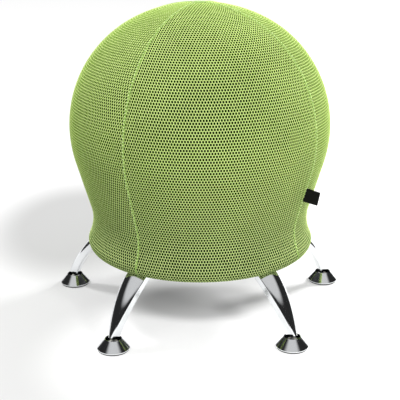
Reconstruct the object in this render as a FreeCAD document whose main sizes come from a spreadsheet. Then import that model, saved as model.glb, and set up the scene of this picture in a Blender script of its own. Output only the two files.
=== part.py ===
import FreeCAD, Part
import math
import os
import re
import Sketcher

# Ball stool: an inflated ball in a knitted cover, held on a ring with five curved legs.
# Millimetres, +Z up. The origin is on the floor, under the ring's centre, and the front is at -Y.

doc = FreeCAD.newDocument("BallStool")
sheet = doc.addObject("Spreadsheet::Sheet", "Sizes")

DRIVING_SIZES = {
    # Ring that everything stands on
    "ring_inset": 42.5,
    "ring_height": 140,
    "ring_tube_radius": 14,
    "ring_wall": 2,
    "overrun": 5,
    "drill_seam_turn": 45,
    # Ball, an oval of two crown arcs and one shoulder arc
    "ball_radius": 247.5,
    "ball_squash": 17,
    "ball_sink": 18.5,
    "ball_shoulder_gain": 5,
    "ball_wall": 3,
    "valve_hole_radius": 5,
    "valve_length": 8,
    "valve_flange_radius": 9,
    "valve_flange_thickness": 2,
    "valve_lip_radius": 6.5,
    # Moulded pan that cradles the ball
    "pan_gap": 0.3,
    "pan_wall": 4,
    "pan_hole_radius": 45,
    "pan_bowl_inset": 55,
    "pan_flange_thickness": 4,
    "pan_flange_overhang": 4,
    "pan_channel_inset": 13,
    "pan_channel_depth": 6,
    "pan_rib_count": 15,
    "pan_rib_thickness": 3,
    "pan_rib_inset": 12,
    "pan_screw_head_radius": 5.5,
    "pan_screw_head_height": 3.5,
    "pan_screw_radius": 2.5,
    "pan_screw_length": 16,
    "pan_screw_play": 0.2,
    "pan_seat_gap": 0.3,
    "thread_gap": 0.05,
    # Knitted cover
    "cover_thickness": 3,
    "cover_gap": 0.3,
    "cover_slope": 16.2,
    "waist_angle": 25,
    "hem_start_angle": 150,
    "hem_end_angle": 192,
    "hem_thickness": 5,
    "patch_radius": 15,
    "patch_rise": 1,
    "seam_width": 4,
    "seam_rise": 1.2,
    "seam_rise_end_angle": 12,
    "seam_wedge_angle": 24,
    "seam_front_azimuth": -33.3,
    "seam_right_azimuth": 55.5,
    "seam_back_azimuth": 146,
    "seam_left_azimuth": 236,
    "flag_reach": 28,
    "flag_height": 27,
    "flag_thickness": 1.6,
    "flag_drop": 104,
    "flag_seat_gap": 0.05,
    # Legs
    "leg_count": 5,
    "leg_foot_height": 23.6,
    "leg_foot_offset": 1.9,
    "leg_foot_lean": 19.5,
    "leg_top_inset": 4.75,
    "leg_foot_face": 4,
    "leg_middle_face": 16.7,
    "leg_top_face": 22.6,
    "leg_foot_back": 9.2,
    "leg_middle_back": 19.5,
    "leg_top_back": 22,
    "leg_foot_depth": 19.6,
    "leg_middle_depth": 19.1,
    "leg_top_depth": 22.3,
    "leg_foot_crown": 2.5,
    "leg_middle_crown": 6.8,
    "leg_top_crown": 7.8,
    "leg_belly": 1.5,
    "leg_corner_radius": 2.2,
    "leg_seat_gap": 0.1,
    "access_hole_radius": 7.5,
    # Bolts that hold the legs to the ring
    "bolt_radius": 4,
    "bolt_play": 0.3,
    "bolt_seat_thickness": 6,
    "bolt_length": 22,
    "bolt_head_radius": 6.5,
    "bolt_head_height": 7,
    "bolt_socket_radius": 3,
    "bolt_socket_depth": 4,
    "cover_bolt_hole_radius": 5.5,
    "nut_radius": 6,
    "nut_length": 12,
    "nut_inset": 1.5,
    # Levelling feet
    "foot_reach": 73,
    "pad_inset": 1,
    "pad_thickness": 3,
    "pad_edge": 0.8,
    "bell_radius": 30,
    "bell_lip_height": 1.5,
    "bell_height": 22,
    "bell_top_radius": 15.8,
    "bell_wall": 1.4,
    "bell_web_thickness": 2,
    "bell_web_hole_radius": 5,
    "bell_edge": 0.5,
    "hub_wall": 2,
    "hub_lip_thickness": 1,
    "hub_lip_width": 1.8,
    "socket_radius": 10,
    "socket_height": 10.4,
    "running_fit": 0.05,
    "stud_ball_height": 12.5,
    "stud_ball_radius": 5.5,
    "stud_neck_radius": 2.6,
    "stud_neck_height": 19,
    "stud_radius": 3,
    "stud_top_height": 32,
}

# Sizes that follow from the driving ones
FOLLOWING_SIZES = {
    "ring_radius": "ball_radius - ring_inset",
    "ball_half_height": "ball_radius - ball_squash",
    "ball_shoulder_offset": "ball_squash + ball_shoulder_gain",
    "ball_centre_height": "ring_height + ring_tube_radius - ball_sink + ball_half_height",
    "ball_shoulder_radius": "ball_radius - ball_shoulder_offset",
    "pan_bowl_radius": "ring_radius - pan_bowl_inset",
    "pan_flange_radius": "ring_radius + pan_flange_overhang",
    "pan_channel_radius": "ring_radius - pan_channel_inset",
    "pan_rib_reach": "ring_radius - pan_rib_inset",
    "cover_skin": "cover_gap + cover_thickness",
    "waist_share": "cos(waist_angle + cover_slope)",
    "waist_reach": "(ring_radius - ball_shoulder_offset) * cos(cover_slope)"
                   " + (ball_centre_height - ring_height) * sin(cover_slope)",
    "waist_curve_radius": "(waist_reach - ball_shoulder_radius - cover_skin"
                          " + waist_share * (ring_tube_radius + cover_skin))"
                          " / (1 - waist_share)",
    "flag_centre_height": "ball_centre_height - flag_drop",
    "foot_circle_radius": "ring_radius + foot_reach",
    "leg_run": "foot_reach + leg_foot_offset + leg_top_inset",
    "leg_rise": "ring_height - ring_tube_radius - cover_skin - leg_foot_height",
    "pad_radius": "bell_radius - pad_inset",
}

ALL_SIZES = list(DRIVING_SIZES.items())
ALL_SIZES += [(alias, "=" + text) for alias, text in FOLLOWING_SIZES.items()]
for row, (alias, size) in enumerate(ALL_SIZES, start=1):
    sheet.set("A%d" % row, alias)
    sheet.set("B%d" % row, str(size))
    sheet.setAlias("B%d" % row, alias)
    doc.recompute()

X_AXIS = FreeCAD.Vector(1, 0, 0)
Y_AXIS = FreeCAD.Vector(0, 1, 0)
Z_AXIS = FreeCAD.Vector(0, 0, 1)


def formula(text):
    """Put the sheet's name before each size in a formula."""
    return re.sub(r"\b[a-z]\w*\b(?!\()", r"Sizes.\g<0>", text)


def value(text):
    """The number that a formula gives now."""
    return float(sheet.evalExpression(formula(text)))


def bind(thing, prop, text):
    """Tie one property of an object to a formula."""
    thing.setExpression(prop, formula(text))


def add(kind, name, **formulas):
    """Add a document object, with each named property tied to its formula."""
    thing = doc.addObject(kind, name)
    for prop, text in formulas.items():
        bind(thing, prop, text)
    return thing


def cut(name, base, tool):
    """The base less the tool."""
    result = doc.addObject("Part::Cut", name)
    result.Base = base
    result.Tool = tool
    return result


def common(name, base, tool):
    """What the base and the tool share."""
    result = doc.addObject("Part::Common", name)
    result.Base = base
    result.Tool = tool
    return result


def fuse(name, shapes):
    """Several shapes as one."""
    result = doc.addObject("Part::MultiFuse", name)
    result.Shapes = shapes
    return result


def drill(name, radius, height, bottom):
    """An upright round hole, as a tool, with its own seam turned off the leg's plane."""
    tool = add("Part::Cylinder", name, Radius=radius, Height=height)
    bind(tool, "Placement.Base.z", bottom)
    bind(tool, "Placement.Rotation.Angle", "drill_seam_turn")
    return tool


def turned(thing, name, angle, reach="0"):
    """A copy of a master shape, turned about the stool's axis and moved outward by the reach."""
    result = doc.addObject("Part::Compound", name)
    result.Links = [thing]
    bind(result, "Placement.Rotation.Angle", angle)
    bind(result, "Placement.Base.x", "(%s) * cos(%s)" % (reach, angle))
    bind(result, "Placement.Base.y", "(%s) * sin(%s)" % (reach, angle))
    return result


def new_body(name):
    """An empty body with its own origin planes."""
    return doc.addObject("PartDesign::Body", name)


def origin_plane(body, role):
    """One of a body's own origin planes."""
    return [plane for plane in body.Origin.OriginFeatures if plane.Role == role][0]


def pin(sketch, geometry, end, across, up, free=None):
    """Hold one point of a sketch at two formulas. One of the two may be left free."""
    for axis, line, text in (("X", -2, across), ("Y", -1, up)):
        if axis == free:
            continue
        if text == "0":
            sketch.addConstraint(Sketcher.Constraint("PointOnObject", geometry, end, line))
            continue
        kind = "Distance" + axis
        index = sketch.addConstraint(Sketcher.Constraint(kind, -1, 1, geometry, end, value(text)))
        sketch.setExpression("Constraints[%d]" % index, formula(text))


def outline(body, name, corners, role="XZ_Plane"):
    """A closed sketch through corners (across, up), each a formula.

    A corner that also gives (centre across, centre up, turn) starts an arc about that centre,
    with turn 1 anticlockwise and -1 clockwise.
    """
    sketch = body.newObject("Sketcher::SketchObject", name)
    sketch.AttachmentSupport = (origin_plane(body, role), [""])
    sketch.MapMode = "FlatFace"
    places = [FreeCAD.Vector(value(corner[0]), value(corner[1]), 0) for corner in corners]
    ends = []
    for number, corner in enumerate(corners):
        here = places[number]
        there = places[(number + 1) % len(corners)]
        if len(corner) == 2:
            sketch.addGeometry(Part.LineSegment(here, there), False)
            ends.append((1, 2))
            continue
        centre = FreeCAD.Vector(value(corner[2]), value(corner[3]), 0)
        first, last = (here, there) if corner[4] > 0 else (there, here)
        circle = Part.Circle(centre, Z_AXIS, (here - centre).Length)
        angles = [math.atan2(spot.y - centre.y, spot.x - centre.x) for spot in (first, last)]
        sketch.addGeometry(Part.ArcOfCircle(circle, angles[0], angles[1]), False)
        ends.append((1, 2) if corner[4] > 0 else (2, 1))
    for number, corner in enumerate(corners):
        before = number - 1 if number else len(corners) - 1
        sketch.addConstraint(Sketcher.Constraint(
            "Coincident", before, ends[before][1], number, ends[number][0]))
        if len(corner) > 2:
            pin(sketch, number, 3, corner[2], corner[3])
        free = None
        if len(corners[before]) > 2:
            centre = FreeCAD.Vector(value(corners[before][2]), value(corners[before][3]), 0)
            arm = places[number] - centre
            free = "X" if abs(arm.x) > abs(arm.y) else "Y"
        pin(sketch, number, ends[number][0], corner[0], corner[1], free)
    return sketch


def revolve(body, name, sketch):
    """Turn a sketch a full circle about the vertical axis."""
    feature = body.newObject("PartDesign::Revolution", name)
    feature.Profile = sketch
    feature.ReferenceAxis = (sketch, ["V_Axis"])
    feature.Angle = 360
    sketch.Visibility = False
    return feature


def turned_piece(name, corners):
    """A body that is one revolved outline."""
    body = new_body(name)
    revolve(body, name + "_turn", outline(body, name + "_outline", corners))
    return body


def arc(centre, radius, start, end):
    """An arc in the XZ plane, by its centre, radius and two angles in radians."""
    spots = []
    for angle in (start, (start + end) / 2, end):
        direction = FreeCAD.Vector(math.cos(angle), 0, math.sin(angle))
        spots.append(centre + direction * radius)
    return Part.Arc(*spots).toShape()


def line(start, end):
    """A straight edge."""
    return Part.LineSegment(start, end).toShape()


def joined_face(edges, back_edges):
    """A face between two chains of edges that run the same way."""
    first, last = edges[0].Vertexes[0].Point, edges[-1].Vertexes[-1].Point
    back_first, back_last = back_edges[0].Vertexes[0].Point, back_edges[-1].Vertexes[-1].Point
    loop = edges + [line(last, back_last)] + back_edges[::-1] + [line(back_first, first)]
    return Part.Face(Part.Wire(Part.__sortEdges__(loop)))


# Oval of the ball
# The crown and base arcs share a radius, and the shoulder arc joins them at a tangent.
CROWN_DROP = ("((ball_shoulder_offset^2 - ball_shoulder_gain^2)"
              " / (2 * ball_shoulder_gain))")
CROWN_RADIUS = "(ball_half_height + %s)" % CROWN_DROP
BASE_CENTRE = "(ball_centre_height + %s)" % CROWN_DROP
TOP_CENTRE = "(ball_centre_height - %s)" % CROWN_DROP


def oval(offset, start_radius):
    """Right half of the ball's oval, moved out by an offset, from near the top to near the base."""
    drop, shoulder = value(CROWN_DROP), value("ball_shoulder_offset")
    crown, side = value(CROWN_RADIUS) + offset, value("ball_shoulder_radius") + offset
    height = value("ball_centre_height")
    join = math.atan2(drop, shoulder)
    top = math.acos(start_radius / crown)
    edges = [arc(FreeCAD.Vector(0, 0, height - drop), crown, top, join)]
    edges.append(arc(FreeCAD.Vector(shoulder, 0, height), side, join, 0))
    edges.append(arc(FreeCAD.Vector(shoulder, 0, height), side, 0, -join))
    return edges, arc(FreeCAD.Vector(0, 0, height + drop), crown, -join, -top)


def section(name, face):
    """A flat section that revolved pieces are made from."""
    thing = doc.addObject("Part::Feature", name)
    thing.Shape = face
    return thing


def swept(name, source, angle, symmetric=False):
    """Turn a section about the stool's axis by an angle."""
    thing = doc.addObject("Part::Revolution", name)
    thing.Source = source
    thing.Axis = Z_AXIS
    thing.Symmetric = symmetric
    bind(thing, "Angle", angle)
    return thing


# Base ring
# A hollow steel tube bent to a circle, drilled below for the leg nuts and above for the pan.
ring_skin = add("Part::Torus", "ring_skin", Radius1="ring_radius", Radius2="ring_tube_radius")
ring_hollow = add("Part::Torus", "ring_hollow", Radius1="ring_radius",
                  Radius2="ring_tube_radius - ring_wall")
for torus in (ring_skin, ring_hollow):
    bind(torus, "Placement.Base.z", "ring_height")

LEG_NAMES = ("back", "left", "front_left", "front_right", "right")
leg_angles = ["90 + %d * 360 / leg_count" % number for number in range(len(LEG_NAMES))]
gap_angles = ["90 + (%d + 1 / 2) * 360 / leg_count" % number for number in range(len(LEG_NAMES))]

nut_drill = drill("nut_drill", "nut_radius", "ring_tube_radius",
                  "ring_height - ring_tube_radius - overrun")
screw_drill = drill("screw_drill", "pan_screw_radius + thread_gap",
                    "ring_tube_radius + overrun", "ring_height")
drills = [turned(nut_drill, "nut_drill_%d" % number, angle, "ring_radius")
          for number, angle in enumerate(leg_angles)]
drills += [turned(screw_drill, "screw_drill_%d" % number, angle, "ring_radius")
           for number, angle in enumerate(gap_angles)]
ring_tube = cut("ring_tube", ring_skin, ring_hollow)
base_ring = cut("base_ring", ring_tube, fuse("ring_drills", drills))

# Ring nuts
# Weld nuts in the drilled holes, which the leg bolts screw into.
nut_bottom = "(ring_height - ring_tube_radius + nut_inset)"
nut_outside = add("Part::Cylinder", "nut_outside", Radius="nut_radius", Height="nut_length")
bind(nut_outside, "Placement.Base.z", nut_bottom)
nut_bore = drill("nut_bore", "bolt_radius", "nut_length + 2 * overrun",
                 nut_bottom + " - overrun")
ring_nut = cut("ring_nut", nut_outside, nut_bore)
ring_nuts = doc.addObject("Part::Compound", "ring_nuts")
ring_nuts.Links = [turned(ring_nut, "ring_nut_" + name, angle, "ring_radius")
                   for name, angle in zip(LEG_NAMES, leg_angles)]

# Ball
# A hollow blown ball with one hole in its base for the valve.
outer_edges, outer_base = oval(0, 0)
inner_edges, inner_base = oval(-value("ball_wall"), 0)
ball_section = section("ball_section", joined_face(
    outer_edges + [outer_base], inner_edges + [inner_base]))
ball_shell = swept("ball_shell", ball_section, "360")
valve_drill = drill("valve_drill", "valve_hole_radius", "ball_half_height",
                    "ball_centre_height - ball_half_height - overrun")
ball = cut("ball", ball_shell, valve_drill)

# Ball valve
# A soft push-in plug with a flange outside and a lip inside the wall.
BALL_BASE = "(ball_centre_height - ball_half_height)"
VALVE_LIP = "(%s + ball_wall + pan_gap)" % BALL_BASE
ball_valve = turned_piece("ball_valve", [
    ("0", BALL_BASE + " - valve_flange_thickness"),
    ("valve_flange_radius", BALL_BASE + " - valve_flange_thickness"),
    ("valve_flange_radius", BALL_BASE),
    ("valve_hole_radius", BALL_BASE),
    ("valve_hole_radius", VALVE_LIP),
    ("valve_lip_radius", VALVE_LIP),
    ("valve_hole_radius", BALL_BASE + " + valve_length"),
    ("0", BALL_BASE + " + valve_length"),
])

# Seat pan
# Moulded in one piece: a bowl that the ball rests in, a flange that lies on the ring, and ribs.
BOWL_INSIDE = "(%s + pan_gap)" % CROWN_RADIUS
BOWL_OUTSIDE = "(%s + pan_gap + pan_wall)" % CROWN_RADIUS
BOWL_MIDDLE = "(%s + pan_gap + pan_wall / 2)" % CROWN_RADIUS
PAN_SEAT = "(ring_height + ring_tube_radius)"
PAN_TOP = "(ring_height + ring_tube_radius + pan_flange_thickness)"
PAN_CHANNEL = "(ring_height + ring_tube_radius - pan_channel_depth)"


def bowl_height(sphere, across):
    """Height of the bowl's sphere at a radius from the axis."""
    return "(%s - sqrt(%s^2 - (%s)^2))" % (BASE_CENTRE, sphere, across)


def bowl_reach(sphere, up):
    """Radius of the bowl's sphere at a height."""
    return "sqrt(%s^2 - (%s - (%s))^2)" % (sphere, BASE_CENTRE, up)


BOWL_RIM = bowl_height(BOWL_INSIDE, "pan_bowl_radius")
seat_pan = new_body("seat_pan")
pan_sketch = outline(seat_pan, "pan_outline", [
    ("pan_hole_radius", bowl_height(BOWL_INSIDE, "pan_hole_radius"), "0", BASE_CENTRE, 1),
    ("pan_bowl_radius", BOWL_RIM),
    (bowl_reach(BOWL_OUTSIDE, BOWL_RIM), BOWL_RIM, "0", BASE_CENTRE, -1),
    (bowl_reach(BOWL_OUTSIDE, PAN_TOP), PAN_TOP),
    ("pan_flange_radius", PAN_TOP),
    ("pan_flange_radius", PAN_CHANNEL),
    ("pan_channel_radius", PAN_CHANNEL),
    ("pan_channel_radius - pan_channel_depth / 2", PAN_SEAT),
    (bowl_reach(BOWL_OUTSIDE, PAN_SEAT), PAN_SEAT, "0", BASE_CENTRE, -1),
    ("pan_hole_radius", bowl_height(BOWL_OUTSIDE, "pan_hole_radius")),
])
revolve(seat_pan, "pan_shell", pan_sketch)
rib_sketch = outline(seat_pan, "rib_outline", [
    (bowl_reach(BOWL_MIDDLE, PAN_TOP + " - pan_flange_thickness / 2"),
     PAN_TOP + " - pan_flange_thickness / 2"),
    ("pan_rib_reach", PAN_TOP + " - pan_flange_thickness / 2"),
    ("pan_rib_reach", PAN_TOP),
    (bowl_reach(BOWL_MIDDLE, BOWL_RIM) + " + pan_wall", BOWL_RIM + " - pan_wall / 2"),
    (bowl_reach(BOWL_MIDDLE, BOWL_RIM), BOWL_RIM + " - pan_wall / 2"),
])
pan_rib = seat_pan.newObject("PartDesign::Pad", "pan_rib")
pan_rib.Profile = rib_sketch
pan_rib.Midplane = True
bind(pan_rib, "Length", "pan_rib_thickness")
pan_ribs = seat_pan.newObject("PartDesign::PolarPattern", "pan_ribs")
pan_ribs.Originals = [pan_rib]
pan_ribs.Axis = (pan_sketch, ["V_Axis"])
pan_ribs.Angle = 360
bind(pan_ribs, "Occurrences", "pan_rib_count")
seat_pan.Tip = pan_ribs
pan_channel = add("Part::Torus", "pan_channel", Radius1="ring_radius",
                  Radius2="ring_tube_radius + pan_seat_gap")
bind(pan_channel, "Placement.Base.z", "ring_height")
seat_pan_seated = cut("seat_pan_seated", seat_pan, pan_channel)
pan_drill = drill("pan_drill", "pan_screw_radius + pan_screw_play",
                  "ring_tube_radius + 2 * overrun", "ring_height")
pan_drills = fuse("pan_drills", [
    turned(pan_drill, "pan_drill_%d" % number, angle, "ring_radius")
    for number, angle in enumerate(gap_angles)])
seat_pan_drilled = cut("seat_pan_drilled", seat_pan_seated, pan_drills)

# Pan screws
# Self-tapping screws through the pan's flange into the top of the ring, between the legs.
pan_screw = turned_piece("pan_screw", [
    ("0", PAN_TOP + " - pan_screw_length"),
    ("pan_screw_radius", PAN_TOP + " - pan_screw_length"),
    ("pan_screw_radius", PAN_TOP),
    ("pan_screw_head_radius", PAN_TOP),
    ("pan_screw_head_radius", PAN_TOP + " + pan_screw_head_height / 2"),
    ("pan_screw_head_radius / 2", PAN_TOP + " + pan_screw_head_height"),
    ("0", PAN_TOP + " + pan_screw_head_height"),
])
pan_screws = doc.addObject("Part::Compound", "pan_screws")
pan_screws.Links = [turned(pan_screw, "pan_screw_%d" % number, angle, "ring_radius")
                    for number, angle in enumerate(gap_angles)]


# Knitted cover
# Four gores hug the ball, run straight down to a waist and wrap round under the ring.
def cover_line(offset, rise=0):
    """One face of the cloth, from the top patch to the hem, at an offset from ball and ring."""
    slope = math.radians(value("cover_slope"))
    ring_side = math.radians(value("waist_angle")) + math.pi
    drop, shoulder_x = value(CROWN_DROP), value("ball_shoulder_offset")
    outside = value("cover_skin")
    waist = value("waist_curve_radius")
    bulge = value("ring_tube_radius")
    crown = FreeCAD.Vector(0, 0, value(TOP_CENTRE))
    shoulder = FreeCAD.Vector(shoulder_x, 0, value("ball_centre_height"))
    ring = FreeCAD.Vector(value("ring_radius"), 0, value("ring_height"))
    out = FreeCAD.Vector(math.cos(slope), 0, -math.sin(slope))
    to_ring = FreeCAD.Vector(math.cos(ring_side), 0, math.sin(ring_side))
    waist_centre = ring - to_ring * (waist + bulge + outside)
    level = offset + rise
    crown_radius = value(CROWN_RADIUS) + level
    join = math.atan2(drop, shoulder_x)
    top = math.acos(value("patch_radius") / crown_radius)
    side = value("ball_shoulder_radius") + level
    waist_radius = waist + outside - level
    edges = [arc(crown, crown_radius, top, join),
             arc(shoulder, side, join, -slope),
             line(shoulder + out * side, waist_centre - out * waist_radius),
             arc(waist_centre, waist_radius, math.pi - slope, ring_side)]
    step = ring_side - math.pi
    hem = -math.radians(value("hem_start_angle"))
    if rise:
        flush = -math.radians(value("seam_rise_end_angle"))
        edges.append(arc(ring, bulge + level, step, flush))
        ledge = FreeCAD.Vector(math.cos(flush), 0, math.sin(flush))
        edges.append(line(ring + ledge * (bulge + level), ring + ledge * (bulge + offset)))
        step = flush
    edges.append(arc(ring, bulge + offset, step, hem))
    return edges


cloth_inside = value("cover_gap")
cloth_outside = value("cover_skin")
gore_section = section("gore_section", joined_face(
    cover_line(cloth_outside), cover_line(cloth_inside)))
seam_section = section("seam_section", joined_face(
    cover_line(cloth_outside, value("seam_rise")), cover_line(cloth_inside)))

SEAMS = ("front", "right", "back", "left")
seam_angles = ["seam_%s_azimuth - 90" % side for side in SEAMS]
seam_slab = add("Part::Box", "seam_slab", Length="2 * ball_radius", Width="seam_width",
                Height="ball_centre_height + ball_radius + ring_height")
bind(seam_slab, "Placement.Base.y", "-seam_width / 2")
seam_slabs = [turned(seam_slab, "seam_slab_" + side, angle)
              for side, angle in zip(SEAMS, seam_angles)]
cover_hole = drill("cover_hole", "cover_bolt_hole_radius", "ring_tube_radius + 2 * overrun",
                   "ring_height - 2 * ring_tube_radius - cover_skin - overrun")
cover_holes = fuse("cover_holes", [
    turned(cover_hole, "cover_hole_" + name, angle, "ring_radius")
    for name, angle in zip(LEG_NAMES, leg_angles)])
gore_cutters = fuse("gore_cutters", seam_slabs + [cover_holes])

gores = []
for number, side in enumerate(SEAMS):
    after = SEAMS[(number + 1) % len(SEAMS)]
    whole_turn = " + 360" if after == "front" else ""
    span = "seam_%s_azimuth%s - seam_%s_azimuth" % (after, whole_turn, side)
    blank = swept("gore_blank_" + side, gore_section, span)
    bind(blank, "Placement.Rotation.Angle", seam_angles[number])
    gores.append(cut("cover_gore_" + side, blank, gore_cutters))

# Cover seams
# A raised bound seam joins each pair of gores, and lies flush below the ring.
seams = []
for number, side in enumerate(SEAMS):
    wedge = swept("seam_wedge_" + side, seam_section, "seam_wedge_angle", True)
    bind(wedge, "Placement.Rotation.Angle", seam_angles[number])
    strip = common("seam_strip_" + side, wedge, seam_slabs[number])
    seams.append(cut("cover_seam_" + side, strip, cover_holes))

# Top patch
# A round patch closes the point where the gores meet.
PATCH_INSIDE = "(%s + cover_gap)" % CROWN_RADIUS
PATCH_OUTSIDE = "(%s + cover_skin + patch_rise)" % CROWN_RADIUS
top_patch = turned_piece("top_patch", [
    ("0", "%s + %s" % (TOP_CENTRE, PATCH_INSIDE)),
    ("0", "%s + %s" % (TOP_CENTRE, PATCH_OUTSIDE), "0", TOP_CENTRE, -1),
    ("patch_radius", "%s + sqrt(%s^2 - patch_radius^2)" % (TOP_CENTRE, PATCH_OUTSIDE)),
    ("patch_radius", "%s + sqrt(%s^2 - patch_radius^2)" % (TOP_CENTRE, PATCH_INSIDE),
     "0", TOP_CENTRE, 1),
])

# Hem band
# The elastic that draws the cover in behind the ring.
ring_centre = FreeCAD.Vector(value("ring_radius"), 0, value("ring_height"))
hem_angles = [-math.radians(value("hem_%s_angle" % end)) for end in ("start", "end")]
hem_inside = value("ring_tube_radius + cover_gap")
hem_section = section("hem_section", joined_face(
    [arc(ring_centre, hem_inside + value("hem_thickness"), *hem_angles)],
    [arc(ring_centre, hem_inside, *hem_angles)]))
hem_band = swept("hem_band", hem_section, "360")

# Flag label
# A bare folded loop of ribbon caught in the right seam, square to the cloth.
flag = add("Part::Box", "flag", Length="flag_reach", Width="flag_thickness",
           Height="flag_height")
FLAG_SKIN = "(ball_shoulder_radius + cover_skin + seam_rise + flag_seat_gap)"
FLAG_DROP = ("((ball_centre_height - %s * sin(cover_slope) - flag_centre_height)"
             " / cos(cover_slope) + flag_height / 2)" % FLAG_SKIN)
bind(flag, "Placement.Base.x", "ball_shoulder_offset + %s * cos(cover_slope)"
     " - %s * sin(cover_slope)" % (FLAG_SKIN, FLAG_DROP))
bind(flag, "Placement.Base.z", "ball_centre_height - %s * sin(cover_slope)"
     " - %s * cos(cover_slope)" % (FLAG_SKIN, FLAG_DROP))
bind(flag, "Placement.Base.y", "-flag_thickness / 2")
flag.Placement.Rotation.Axis = Y_AXIS
bind(flag, "Placement.Rotation.Angle", "cover_slope")
flag_label = turned(flag, "flag_label", "seam_right_azimuth - 90")


# Legs
# Chromed castings with a crowned face that narrows to a keel at the foot.
LEG_STATION_SHARES = (0, 0.25, 0.5, 0.75, 1)


def blended(name, share):
    """A leg size at a share of its length, through its foot, middle and top values."""
    foot, middle, top = (value("leg_%s_%s" % (end, name)) for end in ("foot", "middle", "top"))
    return (foot * (1 - share) * (1 - 2 * share) + middle * 4 * share * (1 - share)
            + top * share * (2 * share - 1))


def leg_frame(share):
    """A point of the leg's centre line, with its outward direction."""
    lean = math.radians(value("leg_foot_lean"))
    run, rise = value("leg_run"), value("leg_rise")
    half_turn = math.atan2(run, rise) - lean
    bend = math.hypot(run, rise) / (2 * math.sin(half_turn))
    here = lean + 2 * half_turn * share
    across = value("foot_circle_radius + leg_foot_offset")
    across += bend * (math.cos(here) - math.cos(lean))
    up = value("leg_foot_height") + bend * (math.sin(here) - math.sin(lean))
    outward = FreeCAD.Vector(math.cos(here), 0, math.sin(here))
    return FreeCAD.Vector(across, 0, up), outward


def corner_arc(corner, before, after, radius):
    """Three points of an arc that rounds a corner between two neighbouring points."""
    arm, leg = (before - corner).normalize(), (after - corner).normalize()
    half = arm.getAngle(leg) / 2
    reach = radius / math.tan(half)
    middle = (arm + leg).normalize() * (radius / math.sin(half) - radius)
    return [corner + arm * reach, corner + middle, corner + leg * reach]


def leg_wire(share):
    """The leg's closed outline at a share of its length."""
    centre, outward = leg_frame(share)
    face, back = blended("face", share), blended("back", share)
    half = blended("depth", share) / 2
    crown, belly = blended("crown", share), value("leg_belly")
    radius = value("leg_corner_radius")

    def spot(across, out):
        return centre + Y_AXIS * across + outward * out

    crease = half - crown
    right, left = spot(face, crease), spot(-face, crease)
    back_right, back_left = spot(back, -half), spot(-back, -half)
    top, bottom = spot(0, half), spot(0, -half - belly)
    face_side = spot(face / 2, half - crown / 4)
    face_other = spot(-face / 2, half - crown / 4)
    rounds = [corner_arc(right, face_side, back_right, radius),
              corner_arc(back_right, right, bottom, radius),
              corner_arc(back_left, bottom, left, radius),
              corner_arc(left, back_left, face_other, radius)]
    edges = [Part.Arc(*bend).toShape() for bend in rounds]
    edges.append(Part.Arc(rounds[3][2], top, rounds[0][0]).toShape())
    edges.append(line(rounds[0][2], rounds[1][0]))
    edges.append(Part.Arc(rounds[1][2], bottom, rounds[2][0]).toShape())
    edges.append(line(rounds[2][2], rounds[3][0]))
    return Part.Wire(Part.__sortEdges__(edges))


leg_stations = []
for number, share in enumerate(LEG_STATION_SHARES):
    station = doc.addObject("Part::Feature", "leg_station_%d" % number)
    station.Shape = leg_wire(share)
    leg_stations.append(station)
leg_skin = doc.addObject("Part::Loft", "leg_skin")
leg_skin.Sections = leg_stations
leg_skin.Solid = True

# Leg cuts
# The top is coped to seat under the covered ring, with a counterbored hole for its bolt,
# and the foot is drilled upright for the glide's stud.
COVERED_RING = "(ring_tube_radius + cover_skin + leg_seat_gap)"
HEAD_TOP = "(ring_height - %s - bolt_seat_thickness)" % COVERED_RING
covered_ring = add("Part::Torus", "covered_ring", Radius1="ring_radius", Radius2=COVERED_RING)
bind(covered_ring, "Placement.Base.z", "ring_height")
bolt_drill = drill("bolt_drill", "bolt_radius + bolt_play",
                   "bolt_seat_thickness + ring_tube_radius + overrun",
                   HEAD_TOP + " - overrun")
access_drill = drill("access_drill", "access_hole_radius", "3 * ring_tube_radius",
                     HEAD_TOP + " - 3 * ring_tube_radius")
stud_drill = drill("stud_drill", "stud_radius", "stud_top_height - stud_ball_height",
                   "stud_ball_height")
for tool, reach in ((bolt_drill, "ring_radius"), (access_drill, "ring_radius"),
                    (stud_drill, "foot_circle_radius")):
    bind(tool, "Placement.Base.x", reach)
leg = cut("leg", leg_skin, fuse("leg_cutters", [
    covered_ring, bolt_drill, access_drill, stud_drill]))

# Leg bolts
# Socket-head bolts, up through each leg and the cover into the ring nuts.
leg_bolt = turned_piece("leg_bolt", [
    ("0", HEAD_TOP + " - bolt_head_height + bolt_socket_depth"),
    ("bolt_socket_radius", HEAD_TOP + " - bolt_head_height + bolt_socket_depth"),
    ("bolt_socket_radius", HEAD_TOP + " - bolt_head_height"),
    ("bolt_head_radius", HEAD_TOP + " - bolt_head_height"),
    ("bolt_head_radius", HEAD_TOP),
    ("bolt_radius", HEAD_TOP),
    ("bolt_radius", HEAD_TOP + " + bolt_length"),
    ("0", HEAD_TOP + " + bolt_length"),
])
leg_bolts = doc.addObject("Part::Compound", "leg_bolts")
leg_bolts.Links = [turned(leg_bolt, "leg_bolt_" + name, angle, "ring_radius")
                   for name, angle in zip(LEG_NAMES, leg_angles)]

# Glide studs
# A ball-ended stud is screwed upright into the foot of each leg.
foot_stud = turned_piece("foot_stud", [
    ("0", "stud_ball_height - stud_ball_radius", "0", "stud_ball_height", 1),
    ("stud_neck_radius", "stud_ball_height + sqrt(stud_ball_radius^2 - stud_neck_radius^2)"),
    ("stud_neck_radius", "stud_neck_height"),
    ("stud_radius", "stud_neck_height"),
    ("stud_radius", "stud_top_height"),
    ("0", "stud_top_height"),
])
foot_studs = doc.addObject("Part::Compound", "foot_studs")
foot_studs.Links = [turned(foot_stud, "foot_stud_" + name, angle, "foot_circle_radius")
                    for name, angle in zip(LEG_NAMES, leg_angles)]

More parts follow.
